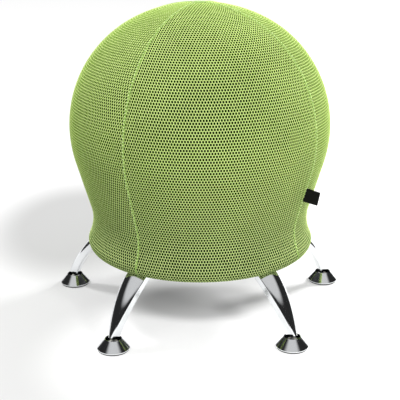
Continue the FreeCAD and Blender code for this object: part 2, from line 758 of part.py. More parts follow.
# Glide sockets
# A nylon cup snaps over each stud's ball and tilts on it.
WEB_TOP = "(pad_thickness + bell_web_thickness)"
SOCKET_BOTTOM = "(%s + running_fit)" % WEB_TOP
SOCKET_TOP = "(%s + socket_height)" % SOCKET_BOTTOM
CUP_RADIUS = "(stud_ball_radius + running_fit)"
foot_socket = turned_piece("foot_socket", [
    ("0", SOCKET_BOTTOM),
    ("socket_radius", SOCKET_BOTTOM),
    ("socket_radius", SOCKET_TOP),
    ("sqrt(%s^2 - (%s - stud_ball_height)^2)" % (CUP_RADIUS, SOCKET_TOP), SOCKET_TOP,
     "0", "stud_ball_height", -1),
    ("0", "stud_ball_height - " + CUP_RADIUS),
])

# Glide bells
# A spun and plated steel bell turns on each socket, held by the rolled lip of its hub.
HUB_BORE = "(socket_radius + running_fit)"
HUB_LIP = "(%s + running_fit)" % SOCKET_TOP
BELL_SHOULDER = "(pad_thickness + bell_lip_height)"
BELL_SLOPE = ("((bell_radius - bell_top_radius)"
              " / (bell_height - pad_thickness - bell_lip_height))")
foot_bell = turned_piece("foot_bell", [
    ("bell_web_hole_radius", "pad_thickness"),
    ("bell_radius", "pad_thickness"),
    ("bell_radius", BELL_SHOULDER),
    ("bell_top_radius", "bell_height - bell_edge"),
    ("bell_top_radius - bell_edge", "bell_height"),
    ("bell_top_radius - bell_wall", "bell_height"),
    ("bell_radius - bell_wall - %s * (%s - %s)" % (BELL_SLOPE, WEB_TOP, BELL_SHOULDER), WEB_TOP),
    (HUB_BORE + " + hub_wall", WEB_TOP),
    (HUB_BORE + " + hub_wall", HUB_LIP + " + hub_lip_thickness"),
    (HUB_BORE + " - hub_lip_width", HUB_LIP + " + hub_lip_thickness"),
    (HUB_BORE + " - hub_lip_width", HUB_LIP),
    (HUB_BORE, HUB_LIP),
    (HUB_BORE, WEB_TOP),
    ("bell_web_hole_radius", WEB_TOP),
])

# Glide pads
# A dark nylon pad with a spigot pressed into the bell's web. It is what stands on the floor.
foot_pad = turned_piece("foot_pad", [
    ("0", "0"),
    ("pad_radius - pad_edge", "0"),
    ("pad_radius", "pad_edge"),
    ("pad_radius", "pad_thickness"),
    ("bell_web_hole_radius", "pad_thickness"),
    ("bell_web_hole_radius", WEB_TOP),
    ("0", WEB_TOP),
])

# Pieces of the stool, by file name
pieces = {
    "base_ring": base_ring,
    "ring_nuts": ring_nuts,
    "seat_pan": seat_pan_drilled,
    "pan_screws": pan_screws,
    "ball": ball,
    "ball_valve": ball_valve,
    "top_patch": top_patch,
    "hem_band": hem_band,
    "flag_label": flag_label,
    "leg_bolts": leg_bolts,
    "foot_studs": foot_studs,
}
for side, gore, seam in zip(SEAMS, gores, seams):
    pieces["cover_gore_" + side] = gore
    pieces["cover_seam_" + side] = seam
FOOT_PIECES = {"foot_socket": foot_socket, "foot_bell": foot_bell, "foot_pad": foot_pad}
for place, angle in zip(LEG_NAMES, leg_angles):
    pieces["leg_" + place] = turned(leg, "placed_leg_" + place, angle)
    for name, master in FOOT_PIECES.items():
        label = "%s_%s" % (name, place)
        pieces[label] = turned(master, "placed_" + label, angle, "foot_circle_radius")

for thing in list(doc.Objects):
    if thing.Label in pieces and pieces[thing.Label] is not thing:
        thing.Label = thing.Label + "_form"
for label, thing in pieces.items():
    thing.Label = label
doc.recompute()

# Checks, then one file for each piece
for thing in doc.Objects:
    if "Invalid" in thing.State or "Error" in thing.State:
        raise RuntimeError("%s did not build: %s" % (thing.Label, thing.State))
for label, thing in pieces.items():
    if thing.Shape.isNull() or not thing.Shape.isValid():
        raise RuntimeError("%s has no valid shape" % label)
os.makedirs("parts", exist_ok=True)
for label, thing in pieces.items():
    thing.Shape.exportStep("parts/%s.step" % label)
print("%d pieces" % len(pieces))
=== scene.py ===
import math
import random

import bpy
import numpy as np
from mathutils import Matrix, Vector


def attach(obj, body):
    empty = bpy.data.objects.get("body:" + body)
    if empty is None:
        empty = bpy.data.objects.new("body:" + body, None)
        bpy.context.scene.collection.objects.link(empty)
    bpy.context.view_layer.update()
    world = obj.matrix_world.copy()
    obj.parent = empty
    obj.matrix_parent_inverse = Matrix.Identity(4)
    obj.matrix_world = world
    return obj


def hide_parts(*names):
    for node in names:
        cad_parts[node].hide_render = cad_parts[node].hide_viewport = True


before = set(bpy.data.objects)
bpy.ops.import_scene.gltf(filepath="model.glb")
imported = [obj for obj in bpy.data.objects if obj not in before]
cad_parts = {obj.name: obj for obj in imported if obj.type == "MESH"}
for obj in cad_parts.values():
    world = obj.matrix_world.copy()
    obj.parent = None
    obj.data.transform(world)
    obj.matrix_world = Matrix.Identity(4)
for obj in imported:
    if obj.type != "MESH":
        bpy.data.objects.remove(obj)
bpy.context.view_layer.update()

# Ball stool: an inflated ball in a knitted cover, held on a ring with five chromed legs.
# Metres, +Z up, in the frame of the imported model. The front is at -Y.


# Base ring
# A steel tube bent to a circle, welded shut and powder coated black. It hides in the cover's
# foot, and carries the seat above it and the legs below it.
def linear(red, green, blue):
    """A colour as the shader wants it, from its 0-255 screen values."""
    shares = [part / 255 for part in (red, green, blue)]
    light = [s / 12.92 if s < 0.04045 else ((s + 0.055) / 1.055) ** 2.4 for s in shares]
    return (*light, 1)


def feed(tree, socket, given):
    """Set an input of a shader node to a plain value, or link it."""
    if isinstance(given, bpy.types.NodeSocket):
        tree.links.new(given, socket)
    else:
        socket.default_value = given


def wire(tree, kind, inputs=None, **settings):
    """Add a shader node with its settings, and its inputs as plain values or as links."""
    added = tree.nodes.new("ShaderNode" + kind)
    for name, setting in settings.items():
        setattr(added, name, setting)
    for name, given in (inputs or {}).items():
        feed(tree, added.inputs[name], given)
    return added


def blend_colours(tree, share, first, second):
    """The colour between two, at a share that changes over the surface."""
    return wire(tree, "Mix", {0: share, 6: first, 7: second}, data_type="RGBA").outputs[2]


def scaled(tree, value, source, target=(0, 1), **settings):
    """A value carried over from one span of numbers to another, and held at its ends."""
    spans = {0: value, 1: source[0], 2: source[1], 3: target[0], 4: target[1]}
    return wire(tree, "MapRange", spans, **settings).outputs[0]


def own_place(tree):
    """Where a point of a surface lies in its piece's own space."""
    return wire(tree, "TexCoord").outputs["Object"]


# One node group gives every finish its grain: fine noise for relief, and broad noise for clouds.
CLOUD_SPAN = (0.3, 0.7)         # where most of a noise's values lie
grain_group = bpy.data.node_groups.new("surface_grain", "ShaderNodeTree")
for label, way in (("Fine Scale", "INPUT"), ("Broad Scale", "INPUT"),
                   ("Grain", "OUTPUT"), ("Clouds", "OUTPUT")):
    grain_group.interface.new_socket(label, in_out=way, socket_type="NodeSocketFloat")
grain_in = grain_group.nodes.new("NodeGroupInput")
grain_out = grain_group.nodes.new("NodeGroupOutput")
grain_place = own_place(grain_group)
for label, scale, detail in (("Grain", "Fine Scale", 3.0), ("Clouds", "Broad Scale", 5.0)):
    noise = wire(grain_group, "TexNoise", {"Vector": grain_place,
                                           "Scale": grain_in.outputs[scale], "Detail": detail})
    grain_group.links.new(noise.outputs["Fac"], grain_out.inputs[label])


def new_finish(name):
    """An empty node material, with its tree and its Principled shader."""
    material = bpy.data.materials.new(name)
    material.use_nodes = True
    return material, material.node_tree, material.node_tree.nodes["Principled BSDF"]


def place_grain(tree, fine_scale, broad_scale):
    """The grain of one material, by the scales of its two noises."""
    return wire(tree, "Group", {"Fine Scale": fine_scale, "Broad Scale": broad_scale},
                node_tree=grain_group)


def finish_surface(tree, shader, colour, roughness, relief_map, relief):
    """Give a shader its colour, its roughness and a fine relief in metres."""
    bump = wire(tree, "Bump", {"Height": relief_map, "Distance": relief})
    for name, given in (("Base Color", colour), ("Roughness", roughness),
                        ("Normal", bump.outputs[0])):
        feed(tree, shader.inputs[name], given)


def grained_finish(name, dark, light, roughness, relief, fine_scale, broad_scale, metallic=0.0):
    """A hard surface: cloudy colour and gloss, and fine relief in metres."""
    material, tree, shader = new_finish(name)
    grain = place_grain(tree, fine_scale, broad_scale)
    clouds = grain.outputs["Clouds"]
    finish_surface(tree, shader, blend_colours(tree, clouds, dark, light),
                   scaled(tree, clouds, CLOUD_SPAN, roughness), grain.outputs["Grain"], relief)
    shader.inputs["Metallic"].default_value = metallic
    return material


def dress(material, *names):
    """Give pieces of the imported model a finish."""
    for name in names:
        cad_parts[name].material_slots[0].material = material


ring_paint = grained_finish("powder_coat", linear(28, 28, 29), linear(40, 40, 41),
                            roughness=(0.42, 0.58), relief=0.00006, fine_scale=1400,
                            broad_scale=24)
dress(ring_paint, "base_ring")

# Ring nuts, pan screws and glide studs
# Zinc-plated steel: nuts welded into the ring, screws through the pan's flange, and ball-ended
# studs turned upright into the legs' feet.
zinc = grained_finish("zinc_plate", linear(150, 152, 156), linear(196, 198, 200),
                      roughness=(0.24, 0.42), relief=0.00001, fine_scale=2600,
                      broad_scale=160, metallic=1.0)
dress(zinc, "ring_nuts", "pan_screws", "foot_studs")

# Seat pan
# Ribbed tray moulded in dark grey polypropylene with a fine spark texture. The ball rests in
# its bowl, and its flange is screwed down on the ring.
pan_plastic = grained_finish("moulded_pan", linear(46, 48, 50), linear(58, 60, 62),
                             roughness=(0.5, 0.66), relief=0.00008, fine_scale=1800,
                             broad_scale=36)
dress(pan_plastic, "seat_pan")

# Ball and its valve
# A blown vinyl ball, matt with a faint mottle from its mould, and a soft white push-in plug in
# its base.
ball_vinyl = grained_finish("ball_vinyl", linear(118, 122, 126), linear(136, 140, 144),
                            roughness=(0.4, 0.55), relief=0.0001, fine_scale=260,
                            broad_scale=9)
dress(ball_vinyl, "ball")
valve_plastic = grained_finish("valve_plastic", linear(214, 213, 208), linear(232, 231, 226),
                               roughness=(0.35, 0.5), relief=0.00003, fine_scale=1500,
                               broad_scale=90)
dress(valve_plastic, "ball_valve")

# Knitted cover
# Four gores of green airmesh knit, with staggered hexagonal holes over a darker backing. They
# hug the ball, run straight down to a waist, wrap the ring and are drawn in under it.
RING_RADIUS = 0.205
RING_HEIGHT = 0.140
CLOTH_OVER_RING = 0.0173
CROWN_CENTRE = (0, 0.3201)
CROWN_RADIUS = 0.2797
PATCH_RADIUS = 0.015
SHOULDER_CENTRE = (0.022, 0.366)
SHOULDER_RADIUS = 0.2288
SLOPE = math.radians(16.2)
WAIST_ANGLE = math.radians(25)
HEM_ANGLE = math.radians(-150)
PROFILE_STEP = 0.0005
SEAM_AZIMUTHS = {"front": -33.3, "right": 55.5, "back": 146, "left": 236}
SIDES = tuple(SEAM_AZIMUTHS)


def bend(centre, radius, start, end, outward=1):
    """Points of one arc of the cover's profile, with their outward directions."""
    count = max(2, round(radius * abs(end - start) / PROFILE_STEP))
    angles = np.linspace(start, end, count + 1)
    spokes = np.stack([np.cos(angles), np.sin(angles)], axis=1)
    return np.array(centre) + radius * spokes, outward * spokes


# The outline is tangent arcs, from the patch down: crown, shoulder, waist and ring. The straight
# slope is the gap between the shoulder's end and the waist's start.
out = np.array([math.cos(SLOPE), -math.sin(SLOPE)])
ring_centre = np.array([RING_RADIUS, RING_HEIGHT])
waist_share = math.cos(WAIST_ANGLE + SLOPE)
waist_radius = ((ring_centre - SHOULDER_CENTRE) @ out - SHOULDER_RADIUS
                + waist_share * CLOTH_OVER_RING) / (1 - waist_share)
waist_centre = ring_centre + (waist_radius + CLOTH_OVER_RING) * np.array(
    [math.cos(WAIST_ANGLE), math.sin(WAIST_ANGLE)])
crown_join = math.atan2(SHOULDER_CENTRE[1] - CROWN_CENTRE[1], SHOULDER_CENTRE[0])
runs = [
    bend(CROWN_CENTRE, CROWN_RADIUS, math.acos(PATCH_RADIUS / CROWN_RADIUS), crown_join),
    bend(SHOULDER_CENTRE, SHOULDER_RADIUS, crown_join, -SLOPE),
    bend(waist_centre, waist_radius, math.pi - SLOPE, math.pi + WAIST_ANGLE, -1),
    bend(ring_centre, CLOTH_OVER_RING, WAIST_ANGLE, HEM_ANGLE),
]
profile_points = np.concatenate([run[0] for run in runs])
profile_out = np.concatenate([run[1] for run in runs])
strides = np.linalg.norm(np.diff(profile_points, axis=0), axis=1)
profile_down = np.concatenate([[0], np.cumsum(strides)])
LENGTH = profile_down[-1]
bulge_start = profile_down[-len(runs[3][0])]


def profile_at(down):
    """Radius, height and outward direction of the cover at distances down from the patch."""
    columns = (*profile_points.T, *profile_out.T)
    return [np.interp(down, profile_down, column) for column in columns]


def heading(azimuth):
    """The angle about the stool's axis of an azimuth that is measured from the front."""
    return math.radians(azimuth - 90)


# The knit is drawn tight between its seams and stands off the ball a little there, which a
# cloth simulation of the whole cover settles, held by the seams, the patch and the ring.
PUFF_COLUMNS = 144
PUFF_ROWS = 64
PUFF_FRAMES = 20
PUFF_LIMIT = 0.0010
HELD_BY_SEAM = 0.004
HELD_BY_PATCH = 0.01
HELD_OVER_RING = 0.02
PUFF_CLOTH = {"quality": 6, "mass": 0.3, "tension_stiffness": 40, "compression_stiffness": 40,
              "bending_stiffness": 2, "vertex_group_mass": "held", "use_pressure": True,
              "uniform_pressure_force": 3}


def clear_selection():
    """Nothing selected, so that an operator acts only on what follows."""
    if bpy.context.object and bpy.context.object.mode != "OBJECT":
        bpy.ops.object.mode_set(mode="OBJECT")
    bpy.ops.object.select_all(action="DESELECT")


def points_of(piece):
    """A mesh's points as an array."""
    flat = np.empty(len(piece.data.vertices) * 3)
    piece.data.vertices.foreach_get("co", flat)
    return flat.reshape(-1, 3)


def move_points(piece, points):
    """Put a mesh's points where an array says."""
    piece.data.vertices.foreach_set("co", points.ravel())
    piece.data.update()


def wrap_round(flat, turn, lift=0.0):
    """Lay cloth points (across, down, outward) on the cover, about one angle of its axis."""
    radius, height, out_r, out_z = profile_at(flat[:, 1])
    angle = turn + flat[:, 0] / radius
    outward = flat[:, 2] + lift
    reach = radius + outward * out_r
    return np.stack([reach * np.cos(angle), reach * np.sin(angle),
                     height + outward * out_z], axis=1)


def settled_puff():
    """How far the knit stands out between its seams, in rows down and columns round it."""
    clear_selection()
    bpy.ops.mesh.primitive_grid_add(x_subdivisions=PUFF_COLUMNS, y_subdivisions=PUFF_ROWS, size=1)
    trial = bpy.context.object
    grid = points_of(trial) + (0.5, 0.5, 0)
    down = grid[:, 1] * LENGTH
    radius = profile_at(down)[0]
    start = heading(SEAM_AZIMUTHS["front"])
    flat = np.stack([grid[:, 0] * 2 * math.pi * radius, down, 0 * down], axis=1)
    rest = wrap_round(flat, start)
    move_points(trial, rest)
    gaps = [(grid[:, 0] * 360 - azimuth + SEAM_AZIMUTHS["front"] + 180) % 360 - 180
            for azimuth in SEAM_AZIMUTHS.values()]
    near_seam = np.min(np.abs(gaps), axis=0) * radius * math.pi / 180 < HELD_BY_SEAM
    near_ends = (down < HELD_BY_PATCH) | (down > bulge_start - HELD_OVER_RING)
    held = near_seam | near_ends | (grid[:, 0] > 1 - 0.5 / PUFF_COLUMNS)
    group = trial.vertex_groups.new(name="held")
    group.add([int(index) for index in np.flatnonzero(held)], 1.0, "REPLACE")
    cloth = trial.modifiers.new("settle", "CLOTH")
    for name, setting in PUFF_CLOTH.items():
        setattr(cloth.settings, name, setting)
    cloth.settings.effector_weights.gravity = 0
    cloth.collision_settings.use_collision = False
    for moment in range(1, PUFF_FRAMES + 1):
        bpy.context.scene.frame_set(moment)
    bpy.ops.object.modifier_apply(modifier=cloth.name)
    moved = points_of(trial) - rest
    _, _, out_r, out_z = profile_at(down)
    angle = start + grid[:, 0] * 2 * math.pi
    outward = (moved[:, 0] * np.cos(angle) + moved[:, 1] * np.sin(angle)) * out_r
    outward = np.maximum(outward + moved[:, 2] * out_z, 0)
    outward *= PUFF_LIMIT / max(outward.max(), PUFF_LIMIT)
    bpy.data.objects.remove(trial, do_unlink=True)
    bpy.context.scene.frame_set(1)
    return outward.reshape(PUFF_ROWS + 1, PUFF_COLUMNS + 1)


puff = settled_puff()


def puff_at(flat, turn):
    """The settled puff at cloth points about one angle of the cover's axis."""
    angle = turn + flat[:, 0] / profile_at(flat[:, 1])[0] - heading(SEAM_AZIMUTHS["front"])
    column = angle / (2 * math.pi) % 1 * PUFF_COLUMNS
    row = np.clip(flat[:, 1] / LENGTH, 0, 1) * PUFF_ROWS
    left = np.minimum(column.astype(int), PUFF_COLUMNS - 1)
    top = np.minimum(row.astype(int), PUFF_ROWS - 1)
    across, below = column - left, row - top
    upper = puff[top, left] * (1 - across) + puff[top, left + 1] * across
    lower = puff[top + 1, left] * (1 - across) + puff[top + 1, left + 1] * across
    return upper * (1 - below) + lower * below


# One hole of the knit is modelled, repeated into a flat sheet, and each gore is cut from it. A
# hole is a six-sided cell with a rim of yarn, and the cells of every other row are set over.
HOLE_PITCH = 0.0051
ROW_PITCH = 0.00512
CELL_POINT = ROW_PITCH / 2 + HOLE_PITCH ** 2 / (8 * ROW_PITCH)
YARN_HALF = 0.00074
HOLE_NARROWING = 0.90
YARN_ROUND = 0.0003
HOLE_TAPER = 0.00018
HOLE_DEPTH = 0.0018
CLOTH_EDGE = 0.0026
GORE_SEAM_HALF = 0.0016
SHEET_COLUMNS = 82
SHEET_PAIRS = 72
MERGE_REACH = 0.00005


def select_points(piece, chosen):
    """Select only these points of a mesh, in object mode."""
    for part in (piece.data.polygons, piece.data.edges):
        part.foreach_set("select", np.zeros(len(part), dtype=bool))
    piece.data.vertices.foreach_set("select", np.asarray(chosen, dtype=bool))


clear_selection()
bpy.ops.mesh.primitive_circle_add(vertices=6, radius=CELL_POINT, fill_type="NGON")
sheet = bpy.context.object
select_points(sheet, np.abs(points_of(sheet)[:, 0]) > MERGE_REACH)
squeeze = (HOLE_PITCH / 2 / (CELL_POINT * math.sin(math.pi / 3)),
           (ROW_PITCH - CELL_POINT) / (CELL_POINT / 2), 1)
bpy.ops.object.mode_set(mode="EDIT")
bpy.ops.transform.resize(value=squeeze)
bpy.ops.mesh.select_all(action="SELECT")
bpy.ops.mesh.inset(thickness=YARN_HALF, depth=-YARN_ROUND)
bpy.ops.transform.resize(value=(HOLE_NARROWING, 1, 1))
bpy.ops.mesh.inset(thickness=HOLE_TAPER, depth=-HOLE_DEPTH)
bpy.ops.object.mode_set(mode="OBJECT")
for offset, count in (((HOLE_PITCH / 2, ROW_PITCH, 0), 2), ((HOLE_PITCH, 0, 0), SHEET_COLUMNS),
                      ((0, 2 * ROW_PITCH, 0), SHEET_PAIRS)):
    array = sheet.modifiers.new("repeat", "ARRAY")
    array.use_relative_offset = False
    array.use_constant_offset = True
    array.constant_offset_displace = offset
    array.count = count
    bpy.ops.object.modifier_apply(modifier=array.name)
bpy.ops.object.mode_set(mode="EDIT")
bpy.ops.mesh.select_all(action="SELECT")
bpy.ops.mesh.remove_doubles(threshold=MERGE_REACH)
bpy.ops.object.mode_set(mode="OBJECT")
move_points(sheet, points_of(sheet) - (SHEET_COLUMNS * HOLE_PITCH / 2, ROW_PITCH, 0))

# The yarn's face is pale and its flank a strong green. Low on the cover the flank is painted
# darker, as shade where light from above doesn't reach into the holes. The dark backing shows in
# the holes.
# Depths are shares of a hole's whole depth.
YARN_LIGHT = linear(244, 255, 190)
YARN_DARK = linear(218, 242, 136)
YARN_FLANK = linear(116, 166, 0)
# painted shade: the flank's colour low on the cover
LOW_SHADED_FLANK = linear(48, 104, 0)
HOLE_GREEN = linear(0, 26, 0)
LOW_SHADE_HEIGHTS = (0.16, 0.36)
FLANK_DEPTHS = (0.02, 0.15)
BACKING_DEPTHS = (0.22, 0.52)
GLEAM_DEPTHS = (0.0, 0.4)
GLEAMS = (0.06, 0.0)
PATCHY_TONES = (0.95, 1.04)

knit, tree, shader = new_finish("airmesh_knit")
depth = wire(tree, "Attribute", attribute_name="hole_depth").outputs["Fac"]
fibre = place_grain(tree, fine_scale=2600, broad_scale=420)
patchy = place_grain(tree, fine_scale=90, broad_scale=14)
above_floor = wire(tree, "SeparateXYZ", {0: own_place(tree)}).outputs["Z"]
yarn = blend_colours(tree, fibre.outputs["Clouds"], YARN_DARK, YARN_LIGHT)
# The flank is painted darker low on the cover, as shade.
flank = blend_colours(tree, scaled(tree, above_floor, LOW_SHADE_HEIGHTS), LOW_SHADED_FLANK,
                      YARN_FLANK)
rim = blend_colours(tree, scaled(tree, depth, FLANK_DEPTHS), yarn, flank)
cloth = blend_colours(tree, scaled(tree, depth, BACKING_DEPTHS), rim, HOLE_GREEN)
tone = scaled(tree, patchy.outputs["Clouds"], CLOUD_SPAN, PATCHY_TONES)
shade = wire(tree, "VectorMath", {0: cloth, "Scale": tone}, operation="SCALE")
finish_surface(tree, shader, shade.outputs[0], roughness=0.75,
               relief_map=fibre.outputs["Grain"], relief=0.00018)
feed(tree, shader.inputs["Specular IOR Level"], scaled(tree, depth, GLEAM_DEPTHS, GLEAMS))


def copy_piece(source, name):
    """A copy of a modelled piece, with its own mesh."""
    copied = source.copy()
    copied.data = source.data.copy()
    copied.name = copied.data.name = name
    bpy.context.collection.objects.link(copied)
    return copied


FRAME_BODY = "stool"


def fit_to_stool(piece, slot_name, *replaced):
    """A soft piece of the cover rides on the frame and stands for its CAD solid."""
    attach(piece, FRAME_BODY)
    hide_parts(*replaced)


def corners_of(piece):
    """The point at each corner of a mesh's faces, as its number."""
    corners = np.empty(len(piece.data.loops), dtype=int)
    piece.data.loops.foreach_get("vertex_index", corners)
    return corners


# A gore's chart is the flat cloth, slanted so that the holes' walls have an area of their own.
CHART_SLANT = 0.3
CHART_SIZE = (SHEET_COLUMNS * HOLE_PITCH, LENGTH * 1.01)
CHART_START = (0.5, 0.004)
for number, side in enumerate(SIDES):
    start = SEAM_AZIMUTHS[side]
    end = SEAM_AZIMUTHS[SIDES[(number + 1) % len(SIDES)]]
    span = math.radians((end - start) % 360)
    middle = heading(start) + span / 2
    gore = copy_piece(sheet, "cover_gore_knit_" + side)
    flat = points_of(gore)
    down = np.clip(flat[:, 1], 0, LENGTH)
    half = profile_at(down)[0] * span / 2 - GORE_SEAM_HALF
    beyond = (np.abs(flat[:, 0]) > half) | (flat[:, 1] < 0) | (flat[:, 1] > LENGTH)
    starts = np.empty(len(gore.data.polygons), dtype=int)
    gore.data.polygons.foreach_get("loop_start", starts)
    lost = np.minimum.reduceat(beyond[corners_of(gore)].astype(int), starts) > 0
    select_points(gore, np.zeros(len(flat), dtype=bool))
    gore.data.polygons.foreach_set("select", lost)
    flat[:, 0] = np.clip(flat[:, 0], -half, half)
    flat[:, 1] = down
    move_points(gore, flat)
    clear_selection()
    gore.select_set(True)
    bpy.context.view_layer.objects.active = gore
    bpy.ops.object.mode_set(mode="EDIT")
    bpy.ops.mesh.select_mode(type="FACE")
    bpy.ops.mesh.delete(type="FACE")
    bpy.ops.mesh.select_mode(type="VERT")
    bpy.ops.mesh.select_all(action="SELECT")
    bpy.ops.mesh.region_to_loop()
    bpy.ops.mesh.extrude_region_move(TRANSFORM_OT_translate={"value": (0, 0, -CLOTH_EDGE)})
    bpy.ops.object.mode_set(mode="OBJECT")
    flat = points_of(gore)
    flat[:, 2] = np.maximum(flat[:, 2], -CLOTH_EDGE)
    deep = gore.data.attributes.new("hole_depth", "FLOAT", "POINT")
    deep.data.foreach_set("value", np.clip(-flat[:, 2] / (YARN_ROUND + HOLE_DEPTH), 0, 1))
    spread = (flat[:, :2] + flat[:, 2:] * CHART_SLANT) / CHART_SIZE + CHART_START
    chart = gore.data.uv_layers.new(name="OFBake")
    chart.data.foreach_set("uv", np.clip(spread[corners_of(gore)], 0, 1).ravel())
    move_points(gore, wrap_round(flat, middle, puff_at(flat, middle)))
    gore.data.shade_smooth()
    gore.data.materials.append(knit)
    fit_to_stool(gore, "green_knit", "cover_gore_" + side)
bpy.data.objects.remove(sheet, do_unlink=True)

# Cover seams
# A narrow bound seam of pale green tape joins each pair of gores. It stands up as a ridge, sewn
# with a zigzag of stitches, and lies flush where it turns under the ring.
SEAM_HALF = 0.0019
SEAM_RISE = 0.0008
SEAM_TUCK = 0.0008
SEAM_ROWS = 420
SEAM_COLUMNS = 10
STITCH = (0.0034, 0.0018, 0.0008)
STITCH_PITCH = 0.0062
STITCH_BEVEL = 0.00028
STITCH_SINK = 0.0001
STITCH_LEAN = 0.45
LEAN_SHAKE = 0.15
STITCH_LENGTHS = (0.75, 1.1)
STITCH_DRIFT = 0.00025
STITCH_SEED = 11
FLUSH_ANGLES = (math.radians(6), math.radians(14))
BINDING_DARK = linear(128, 166, 66)
BINDING_LIGHT = linear(166, 202, 100)
THREAD_GREEN = linear(228, 248, 172)

flush_start, flush_end = [bulge_start + CLOTH_OVER_RING * (WAIST_ANGLE + angle)
                          for angle in FLUSH_ANGLES]


def ridge(across, down):
    """Height of the seam's tape over the knit's face."""
    share = np.clip((flush_end - down) / (flush_end - flush_start), 0, 1)
    crown = np.sqrt(np.clip(1 - (across / SEAM_HALF) ** 2, 0, 1))
    return (SEAM_RISE * share + SEAM_TUCK) * crown - SEAM_TUCK


def mark_thread(piece, share):
    """Say on a mesh whether it is sewing thread, for its finish."""
    thread = piece.data.attributes.new("thread", "FLOAT", "POINT")
    thread.data.foreach_set("value", np.full(len(piece.data.vertices), float(share)))


def thread_block(size, bevel):
    """One pass of sewing thread over a tape: a block with soft edges, round the origin."""
    bpy.ops.mesh.primitive_cube_add(size=1)
    block = bpy.context.object
    block.scale = size
    bpy.ops.object.transform_apply(location=False, rotation=False)
    rounding = block.modifiers.new("round", "BEVEL")
    rounding.width = bevel
    rounding.segments = 1
    bpy.ops.object.modifier_apply(modifier=rounding.name)
    return block


def sew_on(tape, block, passes):
    """Repeat a thread block with its points as given for each pass, and join all to a tape."""
    repeat = block.modifiers.new("repeat", "ARRAY")
    repeat.count = len(passes)
    bpy.ops.object.modifier_apply(modifier=repeat.name)
    move_points(block, np.concatenate(passes))
    mark_thread(block, 1)
    mark_thread(tape, 0)
    clear_selection()
    block.select_set(True)
    tape.select_set(True)
    bpy.context.view_layer.objects.active = tape
    bpy.ops.object.join()
    tape.data.shade_smooth()


clear_selection()
bpy.ops.mesh.primitive_grid_add(x_subdivisions=SEAM_COLUMNS, y_subdivisions=SEAM_ROWS, size=1)
tape = bpy.context.object
tape_points = (points_of(tape) + (0, 0.5, 0)) * (2 * SEAM_HALF, LENGTH, 0)
tape_points[:, 0] = SEAM_HALF * np.sin(tape_points[:, 0] / SEAM_HALF * math.pi / 2)
tape_points[:, 2] = ridge(tape_points[:, 0], tape_points[:, 1])
move_points(tape, tape_points)
stitch = thread_block(STITCH, STITCH_BEVEL)
one_stitch = points_of(stitch)
stitch_shuffle = random.Random(STITCH_SEED)
stitches = []
for step in range(int((flush_start - STITCH_PITCH) / STITCH_PITCH)):
    lean = STITCH_LEAN * (-1) ** step + stitch_shuffle.uniform(-LEAN_SHAKE, LEAN_SHAKE)
    length = stitch_shuffle.uniform(*STITCH_LENGTHS)
    drift = stitch_shuffle.uniform(-STITCH_DRIFT, STITCH_DRIFT)
    laid = one_stitch * (1, length, 1) @ np.array(Matrix.Rotation(lean, 3, "Z")).T
    stitches.append(laid + (drift, (step + 1) * STITCH_PITCH, SEAM_RISE - STITCH_SINK))
sew_on(tape, stitch, stitches)

seam_finish, tree, shader = new_finish("seam_tape")
weave = place_grain(tree, fine_scale=2200, broad_scale=230)
binding = blend_colours(tree, weave.outputs["Clouds"], BINDING_DARK, BINDING_LIGHT)
sewn = wire(tree, "Attribute", attribute_name="thread").outputs["Fac"]
finish_surface(tree, shader, blend_colours(tree, sewn, binding, THREAD_GREEN), roughness=0.75,
               relief_map=weave.outputs["Grain"], relief=0.0003)
shader.inputs["Sheen Weight"].default_value = 0.2

tape_flat = points_of(tape)
for side, azimuth in SEAM_AZIMUTHS.items():
    seam = copy_piece(tape, "cover_seam_tape_" + side)
    move_points(seam, wrap_round(tape_flat, heading(azimuth)))
    seam.data.materials.append(seam_finish)
    fit_to_stool(seam, "seam_knit", "cover_seam_" + side)
bpy.data.objects.remove(tape, do_unlink=True)

# Top patch
# A round of the same pale tape, domed over the crown. It covers the point where the four gores
# meet, and is overlocked round its edge.
PATCH_RISE = 0.0010
PATCH_LAP = 0.0004
PATCH_ROUND = 0.0014
PATCH_TUCK = 0.0008
PATCH_SIDES = 64
PATCH_RINGS = (0.0012, 0.0014, 0.0030, 0.0030, 0.0030)
PATCH_STITCHES = 26
OVERLOCK = (0.0040, 0.0008, 0.0007)
OVERLOCK_BEVEL = 0.00022
OVERLOCK_INSET = 0.0016


def crown_at(reach):
    """Height of the cover's crown at distances from the stool's axis."""
    return CROWN_CENTRE[1] + np.sqrt(CROWN_RADIUS ** 2 - reach ** 2)


clear_selection()
bpy.ops.mesh.primitive_circle_add(vertices=PATCH_SIDES, radius=PATCH_RADIUS + PATCH_LAP,
                                  fill_type="NGON")
patch = bpy.context.object
bpy.ops.object.mode_set(mode="EDIT")
bpy.ops.mesh.select_all(action="SELECT")
for width in PATCH_RINGS:
    bpy.ops.mesh.inset(thickness=width)
bpy.ops.mesh.poke()
bpy.ops.object.mode_set(mode="OBJECT")
patch_points = points_of(patch)
reach = np.hypot(patch_points[:, 0], patch_points[:, 1])
lift = PATCH_RISE * np.sqrt(np.clip((PATCH_RADIUS + PATCH_LAP - reach) / PATCH_ROUND, 0, 1))
lift -= PATCH_TUCK * (reach > PATCH_RADIUS)
patch_points[:, 2] = crown_at(reach) + lift
move_points(patch, patch_points)
overlock = thread_block(OVERLOCK, OVERLOCK_BEVEL)
reach = PATCH_RADIUS - OVERLOCK_INSET
one_stitch = points_of(overlock) + (reach, 0, crown_at(reach) + PATCH_RISE - STITCH_SINK)
turns = [Matrix.Rotation(2 * math.pi * number / PATCH_STITCHES, 3, "Z")
         for number in range(PATCH_STITCHES)]
sew_on(patch, overlock, [one_stitch @ np.array(turn).T for turn in turns])
patch.name = patch.data.name = "top_patch_tape"
patch.data.materials.append(seam_finish)
fit_to_stool(patch, "seam_knit", "top_patch")

